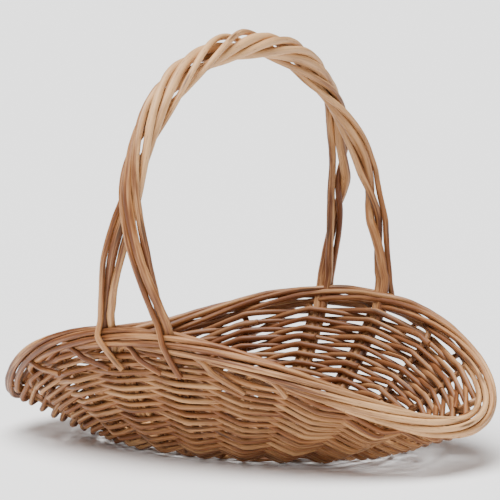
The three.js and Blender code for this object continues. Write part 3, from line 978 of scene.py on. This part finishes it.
def evenly(points, count):
    """The same line as count + 1 evenly spaced points."""
    runs = [0.0]
    for a, b in zip(points, points[1:]):
        runs.append(runs[-1] + (b - a).length)
    result, i = [], 0
    for k in range(count + 1):
        wanted = runs[-1] * k / count
        while i < len(points) - 2 and runs[i + 1] < wanted:
            i += 1
        x = (wanted - runs[i]) / max(runs[i + 1] - runs[i], 1e-9)
        result.append(points[i].lerp(points[i + 1], x))
    return result


def arch_frames(shape):
    """The middle of the handle at each station, with the direction away from the inside of the arch."""
    middles = evenly(arch_line(shape), STATIONS)
    frames = []
    for i, middle in enumerate(middles):
        along = (middles[min(i + 1, STATIONS)] - middles[max(i - 1, 0)]).normalized()
        frames.append((middle, -along.cross(Vector((1, 0, 0)))))
    return frames


def lap_points(shape, rods, stake, aside):
    """The end of a wrapping rod, which comes down outside the border and is cut off on the wall below it."""
    points = []
    on_wall = rods.weave_depth + rods.weaver + rods.handle_thin
    for along, t in LAP_ON_WALL:
        angle = beside_stake(shape, stake, aside + along * MM, t)
        points.append(wall_point(shape, angle, t) + wall_frame(shape, angle, t)[2] * on_wall)
    past_border = rods.border + rods.stake + rods.handle_thin
    for along, rise, out_share in LAP_ON_BORDER:
        angle = beside_stake(shape, stake, aside + along * MM, 1)
        out, up = rim_frame(shape, angle)
        points.append(wall_point(shape, angle, 1) + out * past_border * out_share + up * rise * MM)
    return points


def foot_points(shape, rods, wraps, foot):
    """The end of a handle rod up to the rim, lowest first."""
    which, place = foot
    stake = handle_stakes()[which]
    aside = foot_shift(rods, stake, place)
    if wraps:
        return lap_points(shape, rods, stake, aside)
    steps = 6
    points = []
    for i in range(steps + 1):
        t = mix(rods.handle_set_in, 1, i / steps)
        points.append(wall_point(shape, beside_stake(shape, stake, aside, t), t))
    return points


def twist_share(x):
    """How much of the twist is done at a share of the handle. It starts slowly where the legs meet."""
    start, end, slow = 0.06, 0.88, 0.8
    done = min(max((x - start) / (end - start), 0), 1)
    return done - (1 - slow) / (2 * math.pi) * math.sin(2 * math.pi * done)


def leg_share(reach, x):
    """How far a leg still stands out towards its foot, at a share of the handle from that foot."""
    return max(0.0, 1 - x / reach) ** 1.15


def leg_place(rods, start, centre, reach, hand, x):
    """A rod's place in its leg. It closes up with the leg's other rods and turns with them."""
    away = start - centre
    turn = hand * 2 * math.pi * rods.leg_turns * smooth(x) * reach / rods.far_leg_share
    close = mix(away.length, rods.leg_lay, smooth(3.5 * x)) / away.length
    turned = Vector(
        (
            away.x * math.cos(turn) - away.y * math.sin(turn),
            away.x * math.sin(turn) + away.y * math.cos(turn),
        )
    )
    return centre + turned * close


def part_lines(lines, radii):
    """Moves rods apart at each station until they lie side by side."""
    for i in range(1, STATIONS):
        for a in range(len(lines)):
            for b in range(a + 1, len(lines)):
                p, q = lines[a][i], lines[b][i]
                apart = q - p
                wanted = (radii[a] + radii[b]) * SIDE_BY_SIDE
                if apart.length < wanted:
                    push = apart.normalized() * ((wanted - apart.length) / 2)
                    lines[a][i] = p - push
                    lines[b][i] = q + push


def ease_lines(lines):
    """Pulls each rod a little towards a fair curve in the legs."""
    for line in lines:
        before = list(line)
        for i in range(1, STATIONS):
            leg = abs(2 * i / STATIONS - 1)
            pull = 0.3 * smooth((leg - 0.4) / 0.3)
            line[i] = before[i].lerp((before[i - 1] + before[i + 1]) / 2, pull)


def leg_middles(facts, starts):
    """The middles of the near and the far leg that a rod stands in."""
    middles = []
    for end, side in enumerate(("near", "far")):
        mates = [s[end] for f, s in zip(HANDLE_RODS.values(), starts) if f[side][0] == facts[side][0]]
        middles.append(sum(mates, Vector((0, 0))) / len(mates))
    return middles


def handle_lines(shape, rods):
    """Every handle rod's points, by name, from its near foot to its far one."""
    frames = arch_frames(shape)
    lines, radii, feet, starts = [], [], [], []
    for facts in HANDLE_RODS.values():
        near = foot_points(shape, rods, facts["wraps"], facts["near"])
        far = foot_points(shape, rods, facts["wraps"], facts["far"])
        feet.append((near, far))
        radii.append(getattr(rods, facts["size"]))
        ends = []
        for end, point in ((0, near[-1]), (STATIONS, far[-1])):
            middle, out = frames[end]
            away = point - middle
            ends.append(Vector((away.dot(out), away.x)))
        starts.append(ends)
    for facts, (near_start, far_start) in zip(HANDLE_RODS.values(), starts):
        near_middle, far_middle = leg_middles(facts, starts)
        line = []
        for i in range(STATIONS + 1):
            x = i / STATIONS
            turn = math.radians(facts["turn"] - 360 * rods.handle_turns * twist_share(x))
            rope = Vector((math.cos(turn), math.sin(turn))) * rods.handle_lay * facts["lay"]
            near_leg, far_leg = leg_share(rods.near_leg_share, x), leg_share(rods.far_leg_share, 1 - x)
            near_reach, far_reach = rods.near_leg_share, rods.far_leg_share
            near_place = leg_place(rods, near_start, near_middle, near_reach, -1, x / near_reach)
            far_place = leg_place(rods, far_start, far_middle, far_reach, 1, (1 - x) / far_reach)
            line.append(rope * (1 - near_leg - far_leg) + near_place * near_leg + far_place * far_leg)
        lines.append(line)
    for done in range(PARTED_ROUNDS):
        part_lines(lines, radii)
        if done < EASED_ROUNDS:
            ease_lines(lines)
    result = {}
    for name, line, (near, far) in zip(HANDLE_RODS, lines, feet):
        middle = [frames[i][0] + frames[i][1] * p.x + Vector((p.y, 0, 0)) for i, p in enumerate(line)]
        result[name] = near[:-1] + middle[1:-1] + far[:-1][::-1]
    return result


class BASKET_OT_handle(bpy.types.Operator):
    """Set the handle's rods in the wall and twist them together over the top."""

    bl_idname = "basket.handle"
    bl_label = "Handle"

    def execute(self, context):
        shape, rods = context.scene.basket_shape, context.scene.basket_rods
        chance = random.Random(13)
        # Handle: a painted highlight, paler and less stained towards its top.
        material = willow("handle willow", context.scene.basket_look, 1.4, -0.2, 0.0, (2, 0.2, 0.33))
        lines = handle_lines(shape, rods)
        for name in HANDLE:
            radius = getattr(rods, HANDLE_RODS[name]["size"])
            guides = Guides()
            guides.add(lines[name], lambda x: radius * mix(1.0, 1.06, math.sin(math.pi * x)), chance.random())
            make_rods(guides, name + "_willow", [name], material, 70, sides=16, step=4 * MM)
        return {"FINISHED"}


# ---- the stage ----


CAMERA_AZIMUTH = 36.16
CAMERA_ELEVATION = 7.59
CAMERA_DISTANCE = 5.0
CAMERA_LENS = 433.7
CAMERA_AIM = (0.0, 0.0, 0.1652)
CAMERA_SHIFT = (0.004, 0.0)


def facing(direction):
    """The rotation of a light or a camera that looks in a direction."""
    return direction.to_track_quat("-Z", "Y").to_euler()


def soft_light(name, direction, distance, size, watts):
    """A square area light that shines at the basket."""
    data = bpy.data.lights.new(name, "AREA")
    data.size = size
    data.energy = watts
    lamp = placed(name, data)
    aim = Vector(CAMERA_AIM)
    lamp.location = aim + Vector(direction).normalized() * distance
    lamp.rotation_euler = facing(aim - lamp.location)


class BASKET_OT_stage(bpy.types.Operator):
    """Set a pale floor, soft light and the camera."""

    bl_idname = "basket.stage"
    bl_label = "Stage"

    def execute(self, context):
        look = context.scene.basket_look
        mesh = bpy.data.meshes.new("floor")
        half = 40.0
        corners = [(-half, -half, 0), (half, -half, 0), (half, half, 0), (-half, half, 0)]
        mesh.from_pydata(corners, [], [(0, 1, 2, 3)])
        floor = placed("floor", mesh)
        ground = Shades("pale floor")
        mesh.materials.append(ground.surface(Base_Color=(*look.ground, 1.0), Roughness=0.9))

        world = bpy.data.worlds.new("soft room")
        world.use_nodes = True
        surround = world.node_tree.nodes["Background"].inputs
        surround["Color"].default_value = (1, 1, 1, 1)
        surround["Strength"].default_value = look.surround
        context.scene.world = world

        sun = bpy.data.lights.new("overhead", "SUN")
        sun.energy = look.key_light
        sun.angle = math.radians(55)
        placed("overhead", sun).rotation_euler = facing(Vector((0.05, 0.25, -1.0)))
        soft_light("front", (0.5, -1.0, 0.45), 2.2, 1.4, look.fill_light)

        data = bpy.data.cameras.new("camera")
        data.lens = CAMERA_LENS
        data.sensor_width = 36.0
        data.shift_x, data.shift_y = CAMERA_SHIFT
        data.clip_end = 200
        camera = placed("camera", data)
        azimuth, elevation = math.radians(CAMERA_AZIMUTH), math.radians(CAMERA_ELEVATION)
        back = Vector(
            (
                math.sin(azimuth) * math.cos(elevation),
                -math.cos(azimuth) * math.cos(elevation),
                math.sin(elevation),
            )
        )
        camera.location = Vector(CAMERA_AIM) + back * CAMERA_DISTANCE
        camera.rotation_euler = facing(-back)
        context.scene.camera = camera
        return {"FINISHED"}


class BASKET_PT_panel(bpy.types.Panel):
    """The basket's pieces and sizes."""

    bl_idname = "BASKET_PT_panel"
    bl_label = "Willow Basket"
    bl_space_type = "VIEW_3D"
    bl_region_type = "UI"
    bl_category = "Basket"

    def draw(self, context):
        for operator in OPERATORS:
            self.layout.operator(operator.bl_idname)
        for group in (context.scene.basket_shape, context.scene.basket_rods, context.scene.basket_look):
            box = self.layout.box()
            for name in group.__annotations__:
                box.prop(group, name)


OPERATORS = (
    BASKET_OT_base_sticks,
    BASKET_OT_base_weave,
    BASKET_OT_stakes,
    BASKET_OT_side_rows,
    BASKET_OT_handle,
    BASKET_OT_stage,
)
GROUPS = {"basket_shape": BasketShape, "basket_rods": BasketRods, "basket_look": BasketLook}


def register():
    """Adds the classes and the scene's settings."""
    for cls in (*GROUPS.values(), *OPERATORS, BASKET_PT_panel):
        bpy.utils.register_class(cls)
    for name, cls in GROUPS.items():
        setattr(bpy.types.Scene, name, bpy.props.PointerProperty(type=cls))


def unregister():
    """Takes them away again."""
    for name in GROUPS:
        delattr(bpy.types.Scene, name)
    for cls in (BASKET_PT_panel, *reversed(OPERATORS), *reversed(GROUPS.values())):
        bpy.utils.unregister_class(cls)


def main():
    """Makes the basket and its stage."""
    register()
    bpy.ops.basket.base_sticks()
    bpy.ops.basket.base_weave()
    bpy.ops.basket.stakes()
    bpy.ops.basket.side_rows()
    bpy.ops.basket.handle()
    bpy.ops.basket.stage()


if __name__ == "__main__":
    main()
